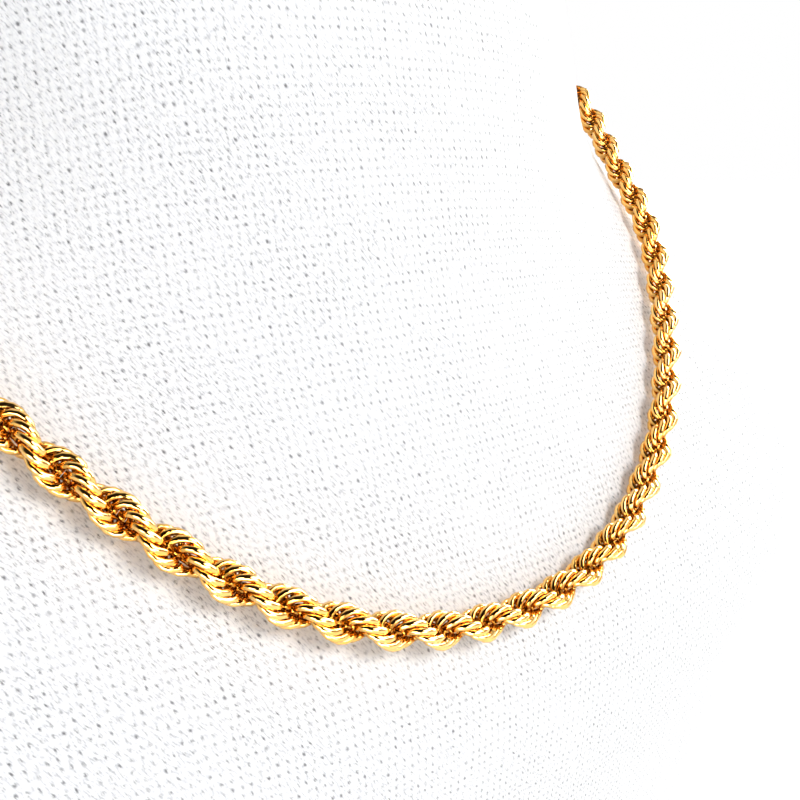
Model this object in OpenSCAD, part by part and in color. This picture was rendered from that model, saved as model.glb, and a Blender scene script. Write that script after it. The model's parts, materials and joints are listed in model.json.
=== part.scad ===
// Gold rope chain resting on a linen-covered neck bust.
// The bust stands on its flat base, +Z is up and its chest faces -Y.
// The chain is one closed round of rope, held at the nape by a spring ring.
// Left and right are as seen from behind, where the fastening shows.

/* [Neck bust] */
// Height from the base to the top of the neck
bust_h = 290; // [240:5:340]
// Width across the shoulders
bust_w = 276; // [230:2:320]
// Depth from the chest to the back
bust_d = 150; // [120:2:180]
// Rounding of the edges of the base and of the neck's top
edge_r = 4; // [2:0.5:6]

/* [Rope chain] */
// Thickness over the rope's strands
chain_d = 4; // [3:0.1:5]
// Gap between the chain and the linen it lies on
seat_gap = 0.4; // [0.4:0.05:0.8]

/* [End caps] */
// Length of the cup that holds each end of the chain
cap_l = 6; // [4:0.5:9]
// Wall of the cup
cap_wall = 0.4; // [0.3:0.05:0.5]
// Gap between the chain and the cup, round it and at its end
cap_gap = 0.2; // [0.15:0.05:0.25]
// Thickness of the cup's closed end
cap_floor = 0.8; // [0.6:0.1:1.2]

/* [Fastening] */
// Wire of the cap loops, the jump rings and the spring ring's eye
wire_d = 0.8; // [0.7:0.05:0.9]
// Middle radius of a cap loop and of the spring ring's eye
loop_r = 1.2; // [1.15:0.05:1.4]
// Middle radius of a jump ring
jump_r = 1.8; // [1.8:0.05:2.1]
// Middle radius of the spring ring
spring_r = 2.8; // [2.6:0.1:3.4]
// Thickness of the spring ring's tube
spring_d = 1.4; // [1.2:0.05:1.5]
// Length of the thumb peg on the spring ring
peg_l = 1.1; // [0.8:0.1:1.6]
// Gap where one ring hangs in another
link_gap = 0.15; // [0.1:0.01:0.2]

/* [Hidden] */

linen = "WhiteSmoke";
gold = "Goldenrod";

// Level sections of the bust, from the base to the top of the neck: the
// distance of the linen from the neck's middle line in five directions, from
// the front round to the back. Height is a share of bust_h, side of
// bust_w / 2, front and back of bust_d / 2, and the two between of the mean
// of both.
HEIGHT = 0;
FRONT = 1;
sections = [
    // height, front, front corner, side, back corner, back
    [0.000, 0.800, 0.695, 0.695, 0.695, 0.780],
    [0.170, 0.925, 0.805, 0.810, 0.765, 0.840],
    [0.310, 1.090, 0.930, 0.905, 0.790, 0.855],
    [0.400, 1.140, 0.995, 0.965, 0.800, 0.855],
    [0.465, 1.070, 0.940, 1.000, 0.810, 0.855],
    [0.535, 0.985, 0.805, 0.915, 0.785, 0.840],
    [0.585, 0.955, 0.690, 0.665, 0.735, 0.825],
    [0.640, 0.925, 0.640, 0.480, 0.680, 0.815],
    [0.690, 0.895, 0.605, 0.420, 0.635, 0.815],
    [0.740, 0.870, 0.575, 0.395, 0.590, 0.805],
    [0.810, 0.845, 0.545, 0.385, 0.555, 0.790],
    [0.900, 0.825, 0.525, 0.375, 0.535, 0.775],
    [1.000, 0.815, 0.510, 0.370, 0.525, 0.765]
];
corner_span = (bust_w + bust_d) / 4;
spans = [bust_d / 2, corner_span, bust_w / 2, corner_span, bust_d / 2];

// The neck's middle line lies behind the middle of the whole depth
axis_y = 0.077 * bust_d;

// The chain's route: the angle round the neck from the front, and the height
// of the chain there as a share of bust_h. The other side is its mirror.
ANGLE = 0;
RISE = 1;
route = [
    // angle, rise
    [0, 0.431],
    [15, 0.447],
    [30, 0.500],
    [45, 0.576],
    [60, 0.646],
    [75, 0.687],
    [90, 0.715],
    [105, 0.733],
    [120, 0.743],
    [135, 0.748],
    [150, 0.750],
    [165, 0.751],
    [180, 0.751]
];

// Mesh of the bust and of the chain
bust_sides = 64;
bust_rows = 58;
edge_steps = 4;
chain_sides = 8;
chain_rings = 96;
$fn = 32;

// Short steps that give the slopes of the surface and of the route
angle_step = 0.2;
height_step = 0.2;

// Smooth curve through one column of a table
function row_below(tab, key, x, i = 0) =
    i >= len(tab) - 2 || x < tab[i + 1][key] ? i : row_below(tab, key, x, i + 1);
function slope_at(tab, key, col, i, level_ends) =
    let (a = max(i - 1, 0), b = min(i + 1, len(tab) - 1))
    level_ends && (i == 0 || i == len(tab) - 1) ? 0
    : (tab[b][col] - tab[a][col]) / (tab[b][key] - tab[a][key]);
function smooth_at(tab, key, col, x, level_ends = false) =
    let (
        i = row_below(tab, key, x),
        span = tab[i + 1][key] - tab[i][key],
        t = (x - tab[i][key]) / span,
        rise_a = slope_at(tab, key, col, i, level_ends) * span,
        rise_b = slope_at(tab, key, col, i + 1, level_ends) * span
    )
    (2 * t ^ 3 - 3 * t ^ 2 + 1) * tab[i][col] + (t ^ 3 - 2 * t ^ 2 + t) * rise_a
    + (3 * t ^ 2 - 2 * t ^ 3) * tab[i + 1][col] + (t ^ 3 - t ^ 2) * rise_b;

// The bust's surface at an angle from the front and a height. A section is
// the smooth round curve through its five distances and their mirror.
function distances(z) =
    [for (j = [0:4]) smooth_at(sections, HEIGHT, FRONT + j, z / bust_h) * spans[j]];
function ends_halved(r) = [r[0] / 2, r[1], r[2], r[3], r[4] / 2];
function wave(r, k) = ends_halved(r) * [for (j = [0:4]) cos(45 * k * j)] / 2;
function bust_radius(angle, z) =
    let (r = distances(z))
    wave(r, 0) / 2 + wave(r, 1) * cos(angle) + wave(r, 2) * cos(2 * angle)
    + wave(r, 3) * cos(3 * angle) + wave(r, 4) / 2 * cos(4 * angle);
function about_axis(angle, r, z) = [r * sin(angle), axis_y - r * cos(angle), z];
function bust_point(angle, z) = about_axis(angle, bust_radius(angle, z), z);
function unit(v) = v / norm(v);
function bust_normal(angle, z) =
    unit(cross(bust_point(angle + angle_step, z) - bust_point(angle - angle_step, z),
               bust_point(angle, z + height_step) - bust_point(angle, z - height_step)));

// The chain's middle line, clear of the linen by its own radius and the gap.
// Near the nape it lifts to leave room for the thicker caps.
cap_d = chain_d + 2 * (cap_gap + cap_wall);
lift_from = 150;
lift_to = 164;
function folded(angle) = abs(angle > 180 ? angle - 360 : angle);
function eased(t) = let (u = min(max(t, 0), 1)) u * u * (3 - 2 * u);
function lift(angle) =
    eased((folded(angle) - lift_from) / (lift_to - lift_from)) * (cap_d - chain_d) / 2;
function route_height(angle) = bust_h * smooth_at(route, ANGLE, RISE, folded(angle), true);
function route_point(angle) =
    let (z = route_height(angle))
    bust_point(angle, z) + (chain_d / 2 + seat_gap + lift(angle)) * bust_normal(angle, z);
function route_ahead(angle) =
    unit(route_point(angle + angle_step) - route_point(angle - angle_step));
function route_out(angle) =
    let (ahead = route_ahead(angle), n = bust_normal(angle, route_height(angle)))
    unit(n - (n * ahead) * ahead);

// Middles of the fastening's pieces along the nape, from the spring ring's
// middle. A ring keeps link_gap from the wire it hangs on.
spring_out = spring_r + spring_d / 2;
spring_in = spring_r - spring_d / 2;
eye_at = -(spring_out + loop_r);
jump_left_at = eye_at - link_gap - jump_r;
loop_left_at = jump_left_at - jump_r - link_gap;
jump_right_at = spring_in - link_gap - wire_d / 2 + jump_r;
loop_right_at = jump_right_at + jump_r - wire_d - link_gap + loop_r;
cap_left_at = loop_left_at - loop_r - cap_l / 2;
cap_right_at = loop_right_at + loop_r + cap_l / 2;

// Angle of a place along the nape, with both caps equally far from the middle
nape_shift = -(cap_left_at + cap_right_at) / 2;
nape_r = route_point(180)[1] - axis_y;
function nape_angle(along) = 180 + (along + nape_shift) * 180 / (PI * nape_r);

// The rope ends inside each cup
rope_end = cap_right_at - cap_l / 2 + cap_floor + cap_gap;
chain_from = nape_angle(rope_end) - 360;
chain_to = -chain_from;

// Closed skin over stacked rings of points
function skin_faces(rings, sides) = concat(
    [[for (k = [0:sides - 1]) k]],
    [for (j = [0:rings - 2]) for (k = [0:sides - 1])
        let (a = j * sides + k, b = j * sides + (k + 1) % sides)
        each [[a, b + sides, b], [a, a + sides, b + sides]]],
    [[for (k = [sides - 1:-1:0]) (rings - 1) * sides + k]]
);

// Heights of the bust's rings, each with how far its edge is drawn in
function rim(i) = 90 * i / edge_steps;
function bust_levels() = concat(
    [for (i = [0:edge_steps - 1]) [edge_r * (1 - cos(rim(i))), edge_r * (1 - sin(rim(i)))]],
    [for (i = [0:bust_rows]) [edge_r + (bust_h - 2 * edge_r) * i / bust_rows, 0]],
    [for (i = [1:edge_steps]) [bust_h - edge_r * (1 - sin(rim(i))), edge_r * (1 - cos(rim(i)))]]
);

// Linen-covered form with a flat base and a flat neck top
module neck_bust() {
    levels = bust_levels();
    points = [for (level = levels) for (k = [0:bust_sides - 1])
        let (angle = 360 * k / bust_sides)
        about_axis(angle, bust_radius(angle, level[0]) - level[1], level[0])];
    color(linen)
        polyhedron(points, skin_faces(len(levels), bust_sides));
}

// The rope of interlinked rings, as one plain tube of its full thickness
module rope_chain() {
    points = [for (j = [0:chain_rings - 1])
        let (
            angle = chain_from + (chain_to - chain_from) * j / (chain_rings - 1),
            out = route_out(angle),
            side = cross(route_ahead(angle), out)
        )
        for (k = [0:chain_sides - 1])
            let (a = 360 * k / chain_sides)
            route_point(angle) + chain_d / 2 * (cos(a) * out + sin(a) * side)];
    color(gold)
        polyhedron(points, skin_faces(chain_rings, chain_sides));
}

// Puts its children on the nape: X runs along the chain, Z out of the linen
module on_nape(along) {
    angle = nape_angle(along);
    x = route_ahead(angle);
    z = route_out(angle);
    y = cross(z, x);
    p = route_point(angle);
    multmatrix([[x[0], y[0], z[0], p[0]],
                [x[1], y[1], z[1], p[1]],
                [x[2], y[2], z[2], p[2]],
                [0, 0, 0, 1]])
        children();
}

// Ring of round wire lying along the linen
module flat_ring(middle_r, wire) {
    rotate_extrude()
        translate([middle_r, 0])
            circle(d = wire);
}

// The same ring standing on edge along the chain
module upright_ring(middle_r, wire) {
    rotate([90, 0, 0])
        flat_ring(middle_r, wire);
}

// Cup over the chain's end, its middle at the origin and its mouth facing +X
module cup() {
    translate([-cap_l / 2, 0, 0])
        rotate([0, 90, 0])
            difference() {
                cylinder(h = cap_l, d = cap_d);
                translate([0, 0, cap_floor])
                    cylinder(h = cap_l, d = chain_d + 2 * cap_gap);
            }
}

module end_cap_left() {
    color(gold)
        on_nape(cap_left_at)
            rotate([0, 0, 180]) {
                cup();
                translate([-cap_l / 2 - loop_r, 0, 0])
                    upright_ring(loop_r, wire_d);
            }
}

module end_cap_right() {
    color(gold)
        on_nape(cap_right_at) {
            cup();
            translate([-cap_l / 2 - loop_r, 0, 0])
                flat_ring(loop_r, wire_d);
        }
}

module jump_ring_left() {
    color(gold)
        on_nape(jump_left_at)
            flat_ring(jump_r, wire_d);
}

module jump_ring_right() {
    color(gold)
        on_nape(jump_right_at)
            upright_ring(jump_r, wire_d);
}

// Round clasp with its eye and thumb peg, as one plain piece
module spring_ring() {
    color(gold)
        on_nape(0) {
            flat_ring(spring_r, spring_d);
            translate([eye_at, 0, 0])
                upright_ring(loop_r, wire_d);
            rotate([0, 0, 60])
                translate([spring_r, 0, 0])
                    rotate([0, 90, 0])
                        cylinder(h = spring_d / 2 + peg_l, d = wire_d);
        }
}

neck_bust();
rope_chain();
end_cap_left();
end_cap_right();
jump_ring_left();
jump_ring_right();
spring_ring();
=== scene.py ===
import bpy
import json
from math import atan2, cos, degrees, hypot, pi, radians, sin
from mathutils import Matrix, Vector

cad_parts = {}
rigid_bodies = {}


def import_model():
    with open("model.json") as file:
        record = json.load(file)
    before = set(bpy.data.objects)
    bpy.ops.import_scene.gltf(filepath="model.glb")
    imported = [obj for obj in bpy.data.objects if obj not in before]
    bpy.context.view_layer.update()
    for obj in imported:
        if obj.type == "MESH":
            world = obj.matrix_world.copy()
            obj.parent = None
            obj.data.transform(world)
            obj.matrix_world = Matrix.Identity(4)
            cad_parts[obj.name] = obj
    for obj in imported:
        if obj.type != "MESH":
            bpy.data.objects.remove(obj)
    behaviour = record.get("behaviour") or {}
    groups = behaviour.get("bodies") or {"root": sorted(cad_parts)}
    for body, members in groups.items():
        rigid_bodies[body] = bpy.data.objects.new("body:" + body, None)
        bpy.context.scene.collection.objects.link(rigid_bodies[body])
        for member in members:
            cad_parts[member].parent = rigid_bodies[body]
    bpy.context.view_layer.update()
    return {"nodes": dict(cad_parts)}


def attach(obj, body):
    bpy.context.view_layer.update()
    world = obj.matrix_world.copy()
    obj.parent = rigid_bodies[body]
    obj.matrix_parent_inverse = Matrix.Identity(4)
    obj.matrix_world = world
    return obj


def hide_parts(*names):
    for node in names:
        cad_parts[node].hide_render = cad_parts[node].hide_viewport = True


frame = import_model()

# Sizes of the real thing, in metres
bust_h = 0.290
bust_w = 0.276
bust_d = 0.150
edge_r = 0.004
chain_d = 0.004
seat_gap = 0.0004
cap_l = 0.006
cap_gap = 0.0002
cap_wall = 0.0004
cap_floor = 0.0008
wire_d = 0.0008
loop_r = 0.0012
jump_r = 0.0018
spring_r = 0.0028
spring_d = 0.0014
link_gap = 0.00015

# Level sections of the bust: height, then the distance of the linen from the neck's
# middle line at the front, front corner, side, back corner and back, as shares
sections = [
    (0.000, 0.800, 0.695, 0.695, 0.695, 0.780),
    (0.170, 0.925, 0.805, 0.810, 0.765, 0.840),
    (0.310, 1.090, 0.930, 0.905, 0.790, 0.855),
    (0.400, 1.140, 0.995, 0.965, 0.800, 0.855),
    (0.465, 1.070, 0.940, 1.000, 0.810, 0.855),
    (0.535, 0.985, 0.805, 0.915, 0.785, 0.840),
    (0.585, 0.955, 0.690, 0.665, 0.735, 0.825),
    (0.640, 0.925, 0.640, 0.480, 0.680, 0.815),
    (0.690, 0.895, 0.605, 0.420, 0.635, 0.815),
    (0.740, 0.870, 0.575, 0.395, 0.590, 0.805),
    (0.810, 0.845, 0.545, 0.385, 0.555, 0.790),
    (0.900, 0.825, 0.525, 0.375, 0.535, 0.775),
    (1.000, 0.815, 0.510, 0.370, 0.525, 0.765),
]

# What each of the five shares is taken of
corner_span = (bust_w + bust_d) / 4
spans = (bust_d / 2, corner_span, bust_w / 2, corner_span, bust_d / 2)

# The neck's middle line lies behind the middle of the whole depth
axis_y = 0.077 * bust_d

# Short steps that give the slopes of the surface, in degrees and metres
angle_step = 0.2
height_step = 0.0002

# The chain's route: angle round the neck from the front, height as a share of bust_h
route = [
    (0, 0.431), (15, 0.447), (30, 0.500), (45, 0.576), (60, 0.646), (75, 0.687), (90, 0.715),
    (105, 0.733), (120, 0.743), (135, 0.748), (150, 0.750), (165, 0.751), (180, 0.751),
]

# Rings of the rope: each lies ring_pitch on and ring_turn degrees round from the one before
ring_wire = 0.00076
ring_segments = 16
ring_sides = 6
ring_pitch = 0.000919
ring_turn = 29.0
rope_phase = 44.0    # turn of the first ring
ring_trim = 3.2      # what each end is cut back, in degrees
route_steps = 720    # straight steps of the curve that the rope follows

# Solder in the rope's core
solder_r = 0.00052
solder_l = 0.00084
solder_shift = 0.000045

# Mesh of the bust, and the straight form that it starts from
bust_sides = 144
bust_rows = 132
edge_steps = 6
form_r = 0.100
rim_inset = 0.004

# Cloth on the bust: distance from thread to thread, and the steps in which its surface
# is measured, round the bust in degrees and up it
thread_pitch = 0.0009
cloth_turn = 3.0
cloth_levels = 145
cloth_start = int(0.45 * cloth_levels)    # threads are counted up and down from here
seam_reach = 4                            # half of the seam's width at the back, in degrees

# Camera, fitted to the photo. Its place is measured from the neck's middle line, and its
# focal length in pixels of the photo.
focal_px = 1003.0
frame_px = 800
sensor_mm = 36
camera_at = (-0.07093, -0.15225, 0.17124)
camera_view = Vector((0.6211, 0.7492, -0.2304))
camera_right = Vector((0.7678, -0.6405, -0.0130))

floor_side = 14


# Form of the bust and route of the chain
def smooth_at(table, col, x, level_ends=False):
    """Value of a table's column on a smooth curve through its rows."""
    last = len(table) - 1
    i = 0
    while i < last - 1 and x >= table[i + 1][0]:
        i += 1

    def slope(k):
        if level_ends and k in (0, last):
            return 0.0
        a, b = max(k - 1, 0), min(k + 1, last)
        return (table[b][col] - table[a][col]) / (table[b][0] - table[a][0])

    span = table[i + 1][0] - table[i][0]
    t = (x - table[i][0]) / span
    return ((2 * t ** 3 - 3 * t ** 2 + 1) * table[i][col]
            + (t ** 3 - 2 * t ** 2 + t) * slope(i) * span
            + (3 * t ** 2 - 2 * t ** 3) * table[i + 1][col]
            + (t ** 3 - t ** 2) * slope(i + 1) * span)


level_waves = {}


def waves_at(z):
    """Cosine waves of the bust's level section, from its five reaches 45 degrees apart."""
    key = round(z, 7)
    if key not in level_waves:
        r = [smooth_at(sections, 1 + j, z / bust_h) * spans[j] for j in range(5)]
        r[0] /= 2
        r[4] /= 2
        level_waves[key] = [
            sum(r[j] * cos(radians(45 * k * j)) for j in range(5)) / 2
            * (0.5 if k in (0, 4) else 1)
            for k in range(5)]
    return level_waves[key]


def bust_radius(angle, z):
    return sum(w * cos(radians(k * angle)) for k, w in enumerate(waves_at(z)))


def bust_point(angle, z):
    r = bust_radius(angle, z)
    a = radians(angle)
    return Vector((r * sin(a), axis_y - r * cos(a), z))


def bust_normal(angle, z):
    along = bust_point(angle + angle_step, z) - bust_point(angle - angle_step, z)
    up = bust_point(angle, z + height_step) - bust_point(angle, z - height_step)
    return along.cross(up).normalized()


def signed(angle):
    """Turn from the front, negative towards -X."""
    return angle - 360 if angle > 180 else angle


def folded(angle):
    """The same turn on the bust's +X side."""
    return abs(signed(angle))


# Near the nape the chain lifts, to leave room for the thicker caps
cap_d = chain_d + 2 * (cap_gap + cap_wall)
lift_from = 150
lift_to = 164


def lift(angle):
    u = min(max((folded(angle) - lift_from) / (lift_to - lift_from), 0), 1)
    return u * u * (3 - 2 * u) * (cap_d - chain_d) / 2


def route_height(angle):
    return bust_h * smooth_at(route, 1, folded(angle), True)


def route_point(angle):
    z = route_height(angle)
    return bust_point(angle, z) + (chain_d / 2 + seat_gap + lift(angle)) * bust_normal(angle, z)


# Middles of the fastening's pieces along the nape, from the spring ring's middle
spring_in = spring_r - spring_d / 2
eye_at = -(spring_r + spring_d / 2 + loop_r)
jump_left_at = eye_at - link_gap - jump_r
loop_left_at = jump_left_at - jump_r - link_gap
jump_right_at = spring_in - link_gap - wire_d / 2 + jump_r
loop_right_at = jump_right_at + jump_r - wire_d - link_gap + loop_r
cap_left_at = loop_left_at - loop_r - cap_l / 2
cap_right_at = loop_right_at + loop_r + cap_l / 2
nape_shift = -(cap_left_at + cap_right_at) / 2
nape_r = route_point(180).y - axis_y


def nape_angle(along):
    return 180 + degrees((along + nape_shift) / nape_r)


chain_from = nape_angle(cap_right_at - cap_l / 2 + cap_floor + cap_gap) - 360
chain_to = -chain_from


# Helpers
def clear_selection():
    for obj in bpy.context.view_layer.objects:
        obj.select_set(False)


def select_only(obj):
    clear_selection()
    obj.select_set(True)
    bpy.context.view_layer.objects.active = obj


def named(name):
    obj = bpy.context.object
    obj.name = name
    obj.data.name = name
    return obj


def edit(obj):
    select_only(obj)
    bpy.ops.object.mode_set(mode='EDIT')


def leave_edit():
    bpy.ops.object.mode_set(mode='OBJECT')


def pick(obj, faces=None, edges=None, verts=None):
    """Selects what the given test is true for, and leaves edit mode on."""
    bpy.ops.mesh.select_mode(type='FACE' if faces else 'EDGE' if edges else 'VERT')
    bpy.ops.mesh.select_all(action='DESELECT')
    bpy.ops.object.mode_set(mode='OBJECT')
    mesh = obj.data
    if faces:
        for f in mesh.polygons:
            f.select = faces(f)
    elif edges:
        for e in mesh.edges:
            a, b = (mesh.vertices[i].co for i in e.vertices)
            e.select = edges(a, b)
    else:
        for v in mesh.vertices:
            v.select = verts(v.co)
    bpy.ops.object.mode_set(mode='EDIT')


def apply_modifiers(obj):
    select_only(obj)
    for mod in list(obj.modifiers):
        bpy.ops.object.modifier_apply(modifier=mod.name)


def settle(obj):
    """Puts the object's place into its mesh."""
    select_only(obj)
    bpy.ops.object.transform_apply(location=True, rotation=True, scale=True)


def shade_smooth(obj):
    select_only(obj)
    bpy.ops.object.shade_smooth()


# Material effects
class Graph:
    """Adds nodes to a tree and joins them."""

    def __init__(self, tree):
        self.tree = tree
        self.x = 0

    def add(self, kind, **sets):
        node = self.tree.nodes.new(kind)
        node.location = (self.x, 0)
        self.x += 180
        for key, value in sets.items():
            setattr(node, key, value)
        return node

    def link(self, a, b):
        self.tree.links.new(a, b)

    def math(self, op, a, b=None, c=None):
        node = self.add('ShaderNodeMath', operation=op)
        for socket, value in zip(node.inputs, (a, b, c)):
            if value is None:
                continue
            if isinstance(value, (int, float)):
                socket.default_value = value
            else:
                self.link(value, socket)
        return node.outputs[0]

    def vector(self, op, a, b=None):
        node = self.add('ShaderNodeVectorMath', operation=op)
        self.link(a, node.inputs[0])
        if op == 'SCALE':
            node.inputs['Scale'].default_value = b
        elif isinstance(b, tuple):
            node.inputs[1].default_value = b
        elif b is not None:
            self.link(b, node.inputs[1])
        return node.outputs['Value' if op == 'LENGTH' else 'Vector']

    def mix(self, factor, a, b):
        node = self.add('ShaderNodeMix', data_type='RGBA')
        for socket, value in ((node.inputs[0], factor), (node.inputs[6], a), (node.inputs[7], b)):
            if isinstance(value, (int, float)):
                socket.default_value = value
            elif isinstance(value, tuple):
                socket.default_value = (*value, 1)
            else:
                self.link(value, socket)
        return node.outputs[2]

    def ramp(self, value, low, high, to_low=0.0, to_high=1.0, smooth=True):
        """Goes from to_low to to_high as the value goes from low to high."""
        node = self.add('ShaderNodeMapRange', clamp=True)
        node.interpolation_type = 'SMOOTHSTEP' if smooth else 'LINEAR'
        self.link(value, node.inputs[0])
        for socket, number in zip(node.inputs[1:5], (low, high, to_low, to_high)):
            socket.default_value = number
        return node.outputs[0]

    def noise(self, vector, scale, detail=2.0, rough=0.5):
        node = self.add('ShaderNodeTexNoise')
        self.link(vector, node.inputs['Vector'])
        node.inputs['Scale'].default_value = scale
        node.inputs['Detail'].default_value = detail
        node.inputs['Roughness'].default_value = rough
        return node.outputs[0]


def new_group(name, inputs, outputs):
    tree = bpy.data.node_groups.new(name, 'ShaderNodeTree')
    for label, kind in inputs:
        tree.interface.new_socket(label, in_out='INPUT', socket_type=kind)
    for label, kind in outputs:
        tree.interface.new_socket(label, in_out='OUTPUT', socket_type=kind)
    g = Graph(tree)
    g.source = g.add('NodeGroupInput')
    g.sink = g.add('NodeGroupOutput')
    return g


def plain_weave_group():
    """Over-and-under threads on a cloth's own coordinates, in threads, with painted shade in the
    pores and along the fibres.
    """
    g = new_group('plain weave', [('Threads', 'NodeSocketVector')],
                  [('Height', 'NodeSocketFloat'), ('Pore shade', 'NodeSocketFloat'),
                   ('Fuzz', 'NodeSocketFloat')])
    threads = g.source.outputs['Threads']
    # Threads wander a little
    wander = g.add('ShaderNodeTexNoise', noise_dimensions='2D')
    g.link(threads, wander.inputs['Vector'])
    wander.inputs['Scale'].default_value = 0.22
    wander.inputs['Detail'].default_value = 2.0
    shift = g.vector('SUBTRACT', wander.outputs['Color'], (0.5, 0.5, 0.5))
    moved = g.vector('ADD', threads, g.vector('SCALE', shift, 0.35))
    split = g.add('ShaderNodeSeparateXYZ')
    g.link(moved, split.inputs[0])
    u, v = split.outputs[0], split.outputs[1]

    def half_width(at):
        """0 at a thread's middle line and 1 half-way to the next."""
        side = g.math('ABSOLUTE', g.math('SUBTRACT', g.math('FRACT', at), 0.5))
        return g.math('MULTIPLY', side, 2.0)

    # Which thread is on top changes from one crossing to the next
    wave = g.math('MULTIPLY', g.math('SINE', g.math('MULTIPLY', u, pi)),
                  g.math('SINE', g.math('MULTIPLY', v, pi)))

    def thread_height(at, over):
        """A round thread that goes over and under the crossing ones."""
        bulge = g.math('SUBTRACT', 1.0, g.math('POWER', half_width(at), 2.0))
        return g.math('ADD', g.math('MULTIPLY', wave, over), g.math('MULTIPLY', bulge, 0.55))

    top = g.math('SMOOTH_MAX', thread_height(u, 0.42), thread_height(v, -0.42), 0.15)
    g.link(top, g.sink.inputs['Height'])
    # Short fibres lie slantwise over the threads
    fibre = g.add('ShaderNodeMapping', vector_type='TEXTURE')
    g.link(threads, fibre.inputs['Vector'])
    fibre.inputs['Rotation'].default_value = (0, 0, radians(-56))
    fibre.inputs['Scale'].default_value = (0.74, 0.20, 1.0)
    fuzz = g.noise(fibre.outputs[0], 1.0, 3.0, 0.62)
    g.link(fuzz, g.sink.inputs['Fuzz'])
    # Pores lie where threads meet, each with its own place and depth; their darkness is painted
    # shade in the gaps between threads
    middle = g.vector('ADD', moved, (0.5, 0.5, 0.0))
    luck = g.add('ShaderNodeTexWhiteNoise', noise_dimensions='2D')
    g.link(g.vector('FLOOR', middle), luck.inputs['Vector'])
    near = g.vector('SUBTRACT', g.vector('FRACTION', middle), (0.5, 0.5, 0.5))
    drift = g.vector('SUBTRACT', luck.outputs['Color'], (0.5, 0.5, 0.5))
    drift = g.vector('SCALE', drift, 0.18)
    flat = g.vector('MULTIPLY', g.vector('ADD', near, drift), (1.0, 1.0, 0.0))
    slant = g.add('ShaderNodeMapping', vector_type='TEXTURE')
    g.link(flat, slant.inputs['Vector'])
    slant.inputs['Rotation'].default_value = (0, 0, radians(-62))
    slant.inputs['Scale'].default_value = (0.38, 0.25, 1.0)
    spot = g.ramp(g.vector('LENGTH', slant.outputs[0]), 0.15, 1.15, 1.0, 0.0)
    patches = g.noise(threads, 0.07, 2.0)
    chance = g.math('ADD', g.math('MULTIPLY', luck.outputs['Value'], 0.75),
                    g.math('MULTIPLY', patches, 0.7))
    depth = g.ramp(chance, 0.15, 1.20, 0.30, 1.05, False)
    strokes = g.ramp(fuzz, 0.56, 0.44, 0.10, 1.0)
    pore_shade = g.math('MULTIPLY', g.math('MULTIPLY', spot, depth), strokes)
    # Grey strokes along the fibres are painted shade of their relief
    fibre_shade = g.math('MULTIPLY', g.ramp(fuzz, 0.48, 0.32),
                   g.ramp(patches, 0.30, 0.70, 0.18, 0.50))
    g.link(g.math('MAXIMUM', pore_shade, fibre_shade), g.sink.inputs['Pore shade'])
    return g.tree


def gold_wear_group():
    """Fine colour and polish changes of a gold surface."""
    g = new_group('gold polish', [('Place', 'NodeSocketVector')],
                  [('Colour', 'NodeSocketColor'), ('Rough', 'NodeSocketFloat'),
                   ('Height', 'NodeSocketFloat')])
    place = g.source.outputs['Place']
    tone = g.noise(place, 90.0, 2.0)
    fine = g.noise(place, 2600.0, 2.0)
    colour = g.mix(g.ramp(tone, 0.3, 0.7), (1.0, 0.55, 0.13), (1.0, 0.62, 0.21))
    g.link(colour, g.sink.inputs['Colour'])
    g.link(g.ramp(fine, 0.25, 0.75, 0.05, 0.10, False), g.sink.inputs['Rough'])
    g.link(g.noise(place, 1400.0, 3.0), g.sink.inputs['Height'])
    return g.tree


def new_material(name):
    mat = bpy.data.materials.new(name)
    mat.use_nodes = True
    return mat, Graph(mat.node_tree), mat.node_tree.nodes['Principled BSDF']


def add_relief(g, shader, height, strength, depth):
    bump = g.add('ShaderNodeBump')
    bump.inputs['Strength'].default_value = strength
    bump.inputs['Distance'].default_value = depth
    g.link(height, bump.inputs['Height'])
    g.link(bump.outputs[0], shader.inputs['Normal'])


def woven_linen():
    mat, g, shader = new_material('white linen')
    uv = g.add('ShaderNodeUVMap', uv_map='cloth')
    weave = g.add('ShaderNodeGroup', node_tree=plain_weave_group())
    g.link(g.vector('SCALE', uv.outputs[0], 1 / thread_pitch), weave.inputs['Threads'])
    body = g.mix(g.ramp(weave.outputs['Fuzz'], 0.35, 0.60),
                 (0.79, 0.80, 0.83), (0.89, 0.895, 0.90))
    # Painted shade: the pores and fibre strokes darken the linen towards grey
    colour = g.mix(weave.outputs['Pore shade'], body, (0.13, 0.13, 0.14))
    g.link(colour, shader.inputs['Base Color'])
    shader.inputs['Roughness'].default_value = 0.92
    shader.inputs['Specular IOR Level'].default_value = 0.2
    shader.inputs['Sheen Weight'].default_value = 0.15
    shader.inputs['Sheen Roughness'].default_value = 0.5
    fibres = g.math('MULTIPLY', weave.outputs['Fuzz'], 0.30)
    add_relief(g, shader, g.math('ADD', weave.outputs['Height'], fibres), 0.4, 0.00014)
    return mat


def polished_gold(name, painted_core_shade=False):
    mat, g, shader = new_material(name)
    place = g.add('ShaderNodeTexCoord').outputs['Object']
    polish = g.add('ShaderNodeGroup', node_tree=gold_wear)
    g.link(place, polish.inputs['Place'])
    shader.inputs['Metallic'].default_value = 1.0
    colour = polish.outputs['Colour']
    if painted_core_shade:
        # Painted shade: the gold turns dark brown towards the rope's core, where the rings hide
        # one another from the light
        reach = g.add('ShaderNodeAttribute', attribute_name='reach')
        colour = g.mix(g.ramp(reach.outputs['Fac'], 0.30, 0.82), (0.44, 0.20, 0.03), colour)
    g.link(colour, shader.inputs['Base Color'])
    g.link(polish.outputs['Rough'], shader.inputs['Roughness'])
    add_relief(g, shader, polish.outputs['Height'], 0.06, 0.00002)
    return mat


linen = woven_linen()
gold_wear = gold_wear_group()
rope_gold = polished_gold('rope gold', painted_core_shade=True)
fastening_gold = polished_gold('fastening gold')


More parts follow.
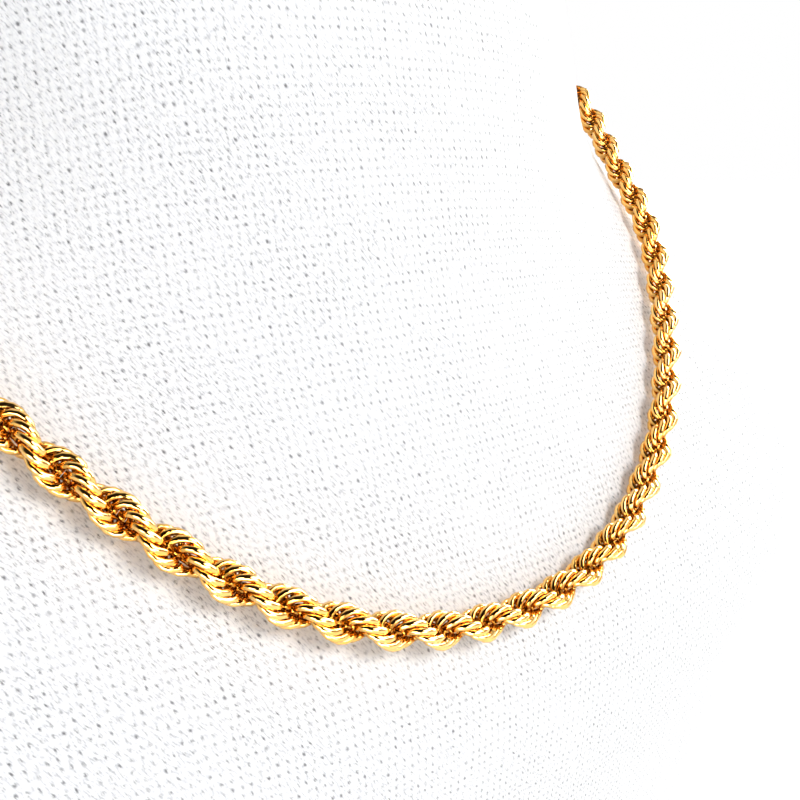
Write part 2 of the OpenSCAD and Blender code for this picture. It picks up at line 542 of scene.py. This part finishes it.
# Bust
def make_bust():
    clear_selection()
    bpy.ops.mesh.primitive_cylinder_add(vertices=bust_sides, radius=form_r, depth=bust_h,
                                        location=(0, 0, bust_h / 2))
    bust = named('linen_bust')
    settle(bust)
    edit(bust)
    # Rounded edges at the base and at the neck's top
    pick(bust, edges=lambda a, b: abs(a.z - b.z) < 1e-6)
    bpy.ops.mesh.bevel(offset=edge_r, segments=edge_steps, profile=0.5)
    # A ring inside each flat end keeps it flat
    pick(bust, faces=lambda f: len(f.vertices) > 4)
    bpy.ops.mesh.inset(thickness=rim_inset, use_boundary=True)
    # Level rows up the side
    pick(bust, edges=lambda a, b: abs(a.z - b.z) > bust_h / 2)
    bpy.ops.mesh.subdivide(number_cuts=bust_rows)
    leave_edit()
    lay_on_form(bust)
    shade_smooth(bust)
    return bust


def lay_on_form(bust):
    """Moves each ring of the straight form out to the bust's own section."""
    polar = []
    for v in bust.data.vertices:
        angle = degrees(atan2(v.co.x, -v.co.y)) % 360
        inset = form_r - hypot(v.co.x, v.co.y)
        polar.append((angle, inset))
        r = bust_radius(angle, v.co.z) - inset
        a = radians(angle)
        v.co = (r * sin(a), axis_y - r * cos(a), v.co.z)
    lay_cloth(bust.data, polar)


def lay_cloth(mesh, polar):
    """Cloth coordinates in metres: round each level from the front, and up the surface."""
    count = int(360 / cloth_turn)
    half = count // 2
    levels = [bust_h * i / cloth_levels for i in range(cloth_levels + 1)]
    climbed = [[0.0] * count]
    for lower, upper in zip(levels, levels[1:]):
        climbed.append([climbed[-1][k] + (bust_point(k * cloth_turn, upper)
                                          - bust_point(k * cloth_turn, lower)).length
                        for k in range(count)])
    level_lengths = {}

    def along_level(z):
        key = round(z, 6)
        if key not in level_lengths:
            total, lengths = 0.0, [0.0]
            last = bust_point(0, z)
            for k in range(1, half + 1):
                here = bust_point(cloth_turn * k, z)
                total += (here - last).length
                lengths.append(total)
                last = here
            level_lengths[key] = lengths
        return level_lengths[key]

    def cloth_u(angle, z):
        turn = signed(angle)
        lengths = along_level(z)
        f = abs(turn) / cloth_turn
        i = min(int(f), half - 1)
        d = lengths[i] + (lengths[i + 1] - lengths[i]) * (f - i)
        return d if turn >= 0 else -d

    def cloth_v(angle, z):
        f = (angle % 360) / cloth_turn
        k = int(f) % count
        k_next = (k + 1) % count
        t = f - int(f)
        level = z / bust_h * cloth_levels
        i = min(int(level), cloth_levels - 1)
        s = level - i

        def climb(row):
            return climbed[row][k] * (1 - t) + climbed[row][k_next] * t

        return climb(i) * (1 - s) + climb(i + 1) * s - climb(cloth_start)

    layer = mesh.uv_layers.new(name='cloth')
    for face in mesh.polygons:
        at_end = face.center.z < 1e-5 or face.center.z > bust_h - 1e-5
        flat = abs(face.normal.z) > 0.97 and at_end
        angles = [polar[mesh.loops[i].vertex_index][0] for i in face.loop_indices]
        # Faces beside the back's middle line keep to their own side's coordinates
        back = not flat and any(abs(angle - 180) < seam_reach for angle in angles)
        side = 1 if not back or sum(angles) / len(angles) <= 180 else -1
        for i in face.loop_indices:
            co = mesh.vertices[mesh.loops[i].vertex_index].co
            angle, inset = polar[mesh.loops[i].vertex_index]
            if flat:
                layer.data[i].uv = (co.x, co.y)
                continue
            u = cloth_u(angle, co.z)
            if back and abs(angle - 180) < 1e-3:
                u = side * abs(u)
            rim = inset if co.z > bust_h / 2 else -inset
            layer.data[i].uv = (u, cloth_v(angle, co.z) + rim)


bust = make_bust()
bust.data.materials.append(linen)
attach(bust, "root")
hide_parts("neck_bust")


# Rope
def route_curve():
    data = bpy.data.curves.new('rope route', 'CURVE')
    data.dimensions = '3D'
    data.twist_mode = 'Z_UP'
    line = data.splines.new('POLY')
    line.points.add(route_steps)
    for k in range(route_steps + 1):
        angle = chain_from + (chain_to - chain_from) * k / route_steps
        line.points[k].co = (*route_point(angle), 1)
    obj = bpy.data.objects.new('rope route', data)
    bpy.context.collection.objects.link(obj)
    length = sum((line.points[k + 1].co - line.points[k].co).length for k in range(route_steps))
    return obj, length


def make_ring():
    """One open ring in its own plane, with the solder at its back."""
    clear_selection()
    bpy.ops.mesh.primitive_torus_add(
        major_radius=(chain_d - ring_wire) / 2, minor_radius=ring_wire / 2,
        major_segments=ring_segments, minor_segments=ring_sides)
    ring = named('rope_rings')
    edit(ring)
    # The opening that lets the next rings through takes two sides of the ring
    side_turn = 2 * pi / ring_segments
    pick(ring, faces=lambda f: abs(atan2(f.center.y, f.center.x)) < side_turn)
    bpy.ops.mesh.delete(type='FACE')
    # Both ends are cut back a little more, clear of the rings that pass between them
    for side in (1, -1):
        pick(ring, verts=lambda co: (co.y * side > 0 and co.x > 0
                                     and abs(atan2(co.y, co.x)) < side_turn * 1.05))
        bpy.ops.transform.rotate(value=-side * radians(ring_trim), orient_axis='Z',
                                 center_override=(0, 0, 0))
    bpy.ops.mesh.select_all(action='SELECT')
    bpy.ops.mesh.fill_holes(sides=ring_sides)
    bpy.ops.mesh.select_all(action='SELECT')
    bpy.ops.mesh.normals_make_consistent(inside=False)
    leave_edit()
    clear_selection()
    bpy.ops.mesh.primitive_cylinder_add(
        vertices=ring_sides, radius=solder_r, depth=solder_l,
        location=(ring_wire / 2 - chain_d / 2 + solder_shift, 0, 0), rotation=(0, pi / 2, 0))
    settle(named('solder'))
    ring.select_set(True)
    bpy.context.view_layer.objects.active = ring
    bpy.ops.object.join()
    return ring


def make_rope():
    guide, length = route_curve()
    rope = make_ring()
    # How far out each point lies from the rope's middle line, for the painted shade in the rope's
    # core
    reach = rope.data.attributes.new('reach', 'FLOAT', 'POINT')
    for v, value in zip(rope.data.vertices, reach.data):
        value.value = abs(v.co.y) / (chain_d / 2)
    rope.data.transform(Matrix.Translation((chain_d / 2, 0, 0)))
    shade_smooth(rope)
    step = bpy.data.objects.new('ring step', None)
    bpy.context.collection.objects.link(step)
    step.location = (ring_pitch, 0, 0)
    step.rotation_euler = (radians(ring_turn), 0, 0)
    array = rope.modifiers.new('rings', 'ARRAY')
    array.count = int((length - chain_d) / ring_pitch) + 1
    array.use_relative_offset = False
    array.use_object_offset = True
    array.offset_object = step
    bend = rope.modifiers.new('route', 'CURVE')
    bend.object = guide
    bend.deform_axis = 'POS_X'
    bpy.context.view_layer.update()
    # The first ring's turn sets where the lobes come
    rope.data.transform(Matrix.Rotation(radians(rope_phase), 4, 'X'))
    apply_modifiers(rope)
    bpy.data.objects.remove(step)
    bpy.data.objects.remove(guide)
    return rope


rope = make_rope()
rope.data.materials.append(rope_gold)
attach(rope, "root")
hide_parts("rope_chain")

for name in ("end_cap_left", "end_cap_right", "jump_ring_left", "jump_ring_right", "spring_ring"):
    node = frame["nodes"][name]
    node.data.materials.clear()
    node.data.materials.append(fastening_gold)

# Floor, light and camera
clear_selection()
bpy.ops.mesh.primitive_plane_add(size=floor_side, location=(0, 0, 0))
floor = named('studio_floor')
floor_paint, g, shader = new_material('studio floor')
shader.inputs['Base Color'].default_value = (0.92, 0.92, 0.91, 1)
shader.inputs['Roughness'].default_value = 0.9
shader.inputs['Emission Color'].default_value = (1, 1, 1, 1)
path = g.add('ShaderNodeLightPath')
glow = g.math('MULTIPLY', path.outputs['Is Camera Ray'], 0.62)
glow = g.math('MULTIPLY_ADD', path.outputs['Is Glossy Ray'], 0.3, glow)
g.link(glow, shader.inputs['Emission Strength'])
floor.data.materials.append(floor_paint)

camera_data = bpy.data.cameras.new('camera')
camera = bpy.data.objects.new('camera', camera_data)
bpy.context.collection.objects.link(camera)
camera_data.sensor_width = sensor_mm
camera_data.lens = sensor_mm * focal_px / frame_px
camera_data.clip_start = 0.005
camera_data.clip_end = 50
view = camera_view.normalized()
up = camera_right.normalized().cross(view).normalized()
right = view.cross(up).normalized()
camera.matrix_world = Matrix((
    (right.x, up.x, -view.x, camera_at[0]),
    (right.y, up.y, -view.y, camera_at[1] + axis_y),
    (right.z, up.z, -view.z, camera_at[2]),
    (0, 0, 0, 1)))
bpy.context.scene.camera = camera


def area_light(name, place, target, size, watts, colour=(1, 1, 1), size_y=None):
    data = bpy.data.lights.new(name, 'AREA')
    data.shape = 'RECTANGLE'
    data.size = size
    data.size_y = size_y or size
    data.energy = watts
    data.color = colour
    lamp = bpy.data.objects.new(name, data)
    bpy.context.collection.objects.link(lamp)
    lamp.location = place
    lamp.rotation_euler = (Vector(target) - Vector(place)).to_track_quat('-Z', 'Y').to_euler()
    return lamp


# Lights that reach the linen as well as the gold
area_light('key', (0.18, -0.80, 0.62), (0.02, -0.04, 0.15), 0.40, 5.3, (1.0, 0.99, 0.975))
area_light('side strip', (0.75, 0.05, 0.42), (0, -0.02, 0.17), 0.16, 3.0, size_y=0.6)

# White cards that only the polished metal shows
aim = Vector((0.0, -0.05, 0.15))
for name, way, distance, size, watts in (
        ('left card', (-0.74, -0.46, 0.00), 1.2, 0.60, 12.0),
        ('front card', (-0.05, -0.98, -0.15), 1.2, 0.65, 17.0),
        ('right card', (0.50, -0.58, 0.64), 1.2, 0.55, 9.0),
        ('side card', (0.93, 0.08, 0.35), 0.8, 0.45, 14.0),
        ('low card', (-0.58, -0.66, -0.46), 0.27, 0.11, 0.6)):
    card = area_light(name, aim + distance * Vector(way).normalized(), aim, size, watts)
    card.visible_diffuse = False
    card.visible_camera = False

# Soft white light all round. Polished metal sees a grey room instead, with a bright wall at
# the left and a dark part above.
world = bpy.data.worlds.new('studio')
bpy.context.scene.world = world
world.use_nodes = True
g = Graph(world.node_tree)
background = world.node_tree.nodes['Background']
path = g.add('ShaderNodeLightPath')
place = g.add('ShaderNodeTexCoord').outputs['Generated']


def towards(direction):
    node = g.add('ShaderNodeVectorMath', operation='DOT_PRODUCT')
    g.link(place, node.inputs[0])
    node.inputs[1].default_value = Vector(direction).normalized()
    return node.outputs['Value']


walls = g.mix(g.ramp(towards((-0.72, -0.64, -0.20)), 0.45, 0.92),
              (0.62, 0.62, 0.64), (2.0, 2.0, 2.0))
room = g.mix(g.ramp(towards((-0.36, -0.64, 0.68)), 0.36, 0.76),
             walls, (0.020, 0.018, 0.015))
soft = g.mix(path.outputs['Is Glossy Ray'], (0.52, 0.525, 0.54), room)
g.link(g.mix(path.outputs['Is Camera Ray'], soft, (1.0, 1.0, 1.0)), background.inputs['Color'])
background.inputs['Strength'].default_value = 1.0
bpy.context.scene.view_settings.view_transform = 'Standard'
